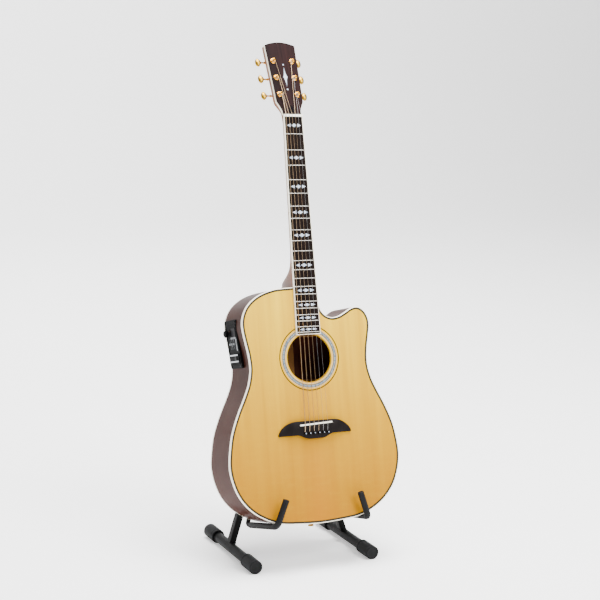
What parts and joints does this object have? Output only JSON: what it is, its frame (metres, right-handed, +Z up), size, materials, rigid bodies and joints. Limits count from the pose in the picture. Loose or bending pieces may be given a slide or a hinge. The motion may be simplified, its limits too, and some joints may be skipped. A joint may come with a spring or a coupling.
{
  "type": "acoustic guitar on stand",
  "caption": "Cutaway acoustic-electric guitar with a spruce top, leaning in a folding black A-frame floor stand with padded arms and a back rest pad.",
  "frame": {"origin": "on the floor, under the centre of the whole object's box", "axes": "+Z up; -Y is the way the guitar's face looks; +X is the guitar's treble (cutaway) side"},
  "size_m": [0.395, 0.3348, 1.0877],
  "materials": {
    "spruce_top": "clear gloss over straight-grained spruce",
    "raw_spruce": "bare sawn spruce",
    "mahogany": "clear gloss over reddish-brown mahogany",
    "neck_wood": "satin reddish-brown",
    "ebony": "oiled, nearly black",
    "maple": "bare maple",
    "rosewood": "clear gloss over dark rosewood",
    "bone": "ivory-coloured, smooth",
    "gold_plate": "polished gold plate",
    "steel": "bright zinc and plain steel",
    "bronze_wound": "wound phosphor bronze",
    "stand_paint": "satin black powder coat",
    "stand_rubber": "matt black rubber",
    "black_plastic": "moulded black"
  },
  "bodies": {
    "stand_head": {"apex_bracket": "stand_paint", "rest_pad": "stand_rubber", "left_pivot_bolt": "steel", "right_pivot_bolt": "steel"},
    "left_leg": {"left_upright": "stand_paint", "left_foot_tube": "stand_paint", "left_front_cap": "stand_rubber", "left_rear_cap": "stand_rubber", "left_arm_rod": "stand_paint", "left_arm_sleeve": "stand_rubber"},
    "right_leg": {"right_upright": "stand_paint", "right_foot_tube": "stand_paint", "right_front_cap": "stand_rubber", "right_rear_cap": "stand_rubber", "right_arm_rod": "stand_paint", "right_arm_sleeve": "stand_rubber"},
    "guitar": {"soundboard": "spruce_top", "back_plate": "mahogany", "sides": "mahogany", "neck_block": "raw_spruce", "tail_block": "raw_spruce", "top_lining": "raw_spruce", "back_lining": "raw_spruce", "x_brace": "raw_spruce", "back_brace": "raw_spruce", "bridge_plate": "maple", "neck": "neck_wood", "truss_rod": "steel", "headplate": "rosewood", "fingerboard": "ebony", "nut": "bone", "bridge": "ebony", "saddle": "bone", "end_pin": "gold_plate", "bass_tuner_plate": "gold_plate", "treble_tuner_plate": "gold_plate", "string_1": "bronze_wound", "string_2": "bronze_wound", "string_3": "bronze_wound", "string_4": "bronze_wound", "string_5": "steel", "string_6": "steel", "preamp_case": "black_plastic"},
    "knob_1": {"tuner_knob_1": "gold_plate"},
    "post_1": {"tuner_post_1": "gold_plate"},
    "knob_2": {"tuner_knob_2": "gold_plate"},
    "post_2": {"tuner_post_2": "gold_plate"},
    "knob_3": {"tuner_knob_3": "gold_plate"},
    "post_3": {"tuner_post_3": "gold_plate"},
    "knob_4": {"tuner_knob_4": "gold_plate"},
    "post_4": {"tuner_post_4": "gold_plate"},
    "knob_5": {"tuner_knob_5": "gold_plate"},
    "post_5": {"tuner_post_5": "gold_plate"},
    "knob_6": {"tuner_knob_6": "gold_plate"},
    "post_6": {"tuner_post_6": "gold_plate"},
    "volume_knob": {"preamp_volume_knob": "black_plastic"},
    "bass_slider": {"preamp_bass_slider": "black_plastic"},
    "middle_slider": {"preamp_middle_slider": "black_plastic"},
    "treble_slider": {"preamp_treble_slider": "black_plastic"},
    "battery_holder": {"preamp_battery_holder": "black_plastic"}
  },
  "joints": [
    {"name": "left_leg_fold", "type": "hinge", "parent": "stand_head", "child": "left_leg", "pos_m": [-0.02, 0.0515, 0.365], "axis": [0, -0.9925, 0.1219], "range_deg": [0, 18]},
    {"name": "right_leg_fold", "type": "hinge", "parent": "stand_head", "child": "right_leg", "pos_m": [0.02, 0.0515, 0.365], "axis": [0, 0.9925, -0.1219], "range_deg": [0, 18]},
    {"name": "guitar_lift", "type": "slide", "parent": "stand_head", "child": "guitar", "axis": [0, 0.2079, 0.9781], "range_m": [0, 0.4]},
    {"name": "tuner_1_turn", "type": "hinge", "parent": "guitar", "child": "knob_1", "pos_m": [-0.03, 0.11646, 0.97462], "axis": [-1, 0, 0], "continuous": true},
    {"name": "post_1_turn", "type": "hinge", "parent": "guitar", "child": "post_1", "pos_m": [-0.0205, 0.09538, 0.97887], "axis": [0, -0.8746, 0.4848], "continuous": true},
    {"name": "tuner_2_turn", "type": "hinge", "parent": "guitar", "child": "knob_2", "pos_m": [-0.03, 0.13537, 1.00873], "axis": [-1, 0, 0], "continuous": true},
    {"name": "post_2_turn", "type": "hinge", "parent": "guitar", "child": "post_2", "pos_m": [-0.0212, 0.11428, 1.01298], "axis": [0, -0.8746, 0.4848], "continuous": true},
    {"name": "tuner_3_turn", "type": "hinge", "parent": "guitar", "child": "knob_3", "pos_m": [-0.03, 0.15427, 1.04284], "axis": [-1, 0, 0], "continuous": true},
    {"name": "post_3_turn", "type": "hinge", "parent": "guitar", "child": "post_3", "pos_m": [-0.022, 0.13319, 1.04709], "axis": [0, -0.8746, 0.4848], "continuous": true},
    {"name": "tuner_4_turn", "type": "hinge", "parent": "guitar", "child": "knob_4", "pos_m": [0.03, 0.15427, 1.04284], "axis": [1, 0, 0], "continuous": true},
    {"name": "post_4_turn", "type": "hinge", "parent": "guitar", "child": "post_4", "pos_m": [0.022, 0.13319, 1.04709], "axis": [0, -0.8746, 0.4848], "continuous": true},
    {"name": "tuner_5_turn", "type": "hinge", "parent": "guitar", "child": "knob_5", "pos_m": [0.03, 0.13537, 1.00873], "axis": [1, 0, 0], "continuous": true},
    {"name": "post_5_turn", "type": "hinge", "parent": "guitar", "child": "post_5", "pos_m": [0.0212, 0.11428, 1.01298], "axis": [0, -0.8746, 0.4848], "continuous": true},
    {"name": "tuner_6_turn", "type": "hinge", "parent": "guitar", "child": "knob_6", "pos_m": [0.03, 0.11646, 0.97462], "axis": [1, 0, 0], "continuous": true},
    {"name": "post_6_turn", "type": "hinge", "parent": "guitar", "child": "post_6", "pos_m": [0.0205, 0.09538, 0.97887], "axis": [0, -0.8746, 0.4848], "continuous": true},
    {"name": "volume_turn", "type": "hinge", "parent": "guitar", "child": "volume_knob", "pos_m": [-0.14945, 0.0328, 0.47924], "axis": [-0.9957, -0.024, -0.0896], "range_deg": [-140, 140]},
    {"name": "bass_slide", "type": "slide", "parent": "guitar", "child": "bass_slider", "axis": [-0.0927, 0.2577, 0.9618], "range_m": [-0.009, 0.009]},
    {"name": "middle_slide", "type": "slide", "parent": "guitar", "child": "middle_slider", "axis": [-0.0927, 0.2577, 0.9618], "range_m": [-0.009, 0.009]},
    {"name": "treble_slide", "type": "slide", "parent": "guitar", "child": "treble_slider", "axis": [-0.0927, 0.2577, 0.9618], "range_m": [-0.009, 0.009]},
    {"name": "battery_slide", "type": "slide", "parent": "guitar", "child": "battery_holder", "axis": [-0.9957, -0.024, -0.0896], "range_m": [0, 0.03]}
  ],
  "couplings": [
    {"joint": "post_1_turn", "follows": "tuner_1_turn", "ratio": -0.0625},
    {"joint": "post_2_turn", "follows": "tuner_2_turn", "ratio": -0.0625},
    {"joint": "post_3_turn", "follows": "tuner_3_turn", "ratio": -0.0625},
    {"joint": "post_4_turn", "follows": "tuner_4_turn", "ratio": 0.0625},
    {"joint": "post_5_turn", "follows": "tuner_5_turn", "ratio": 0.0625},
    {"joint": "post_6_turn", "follows": "tuner_6_turn", "ratio": 0.0625}
  ]
}
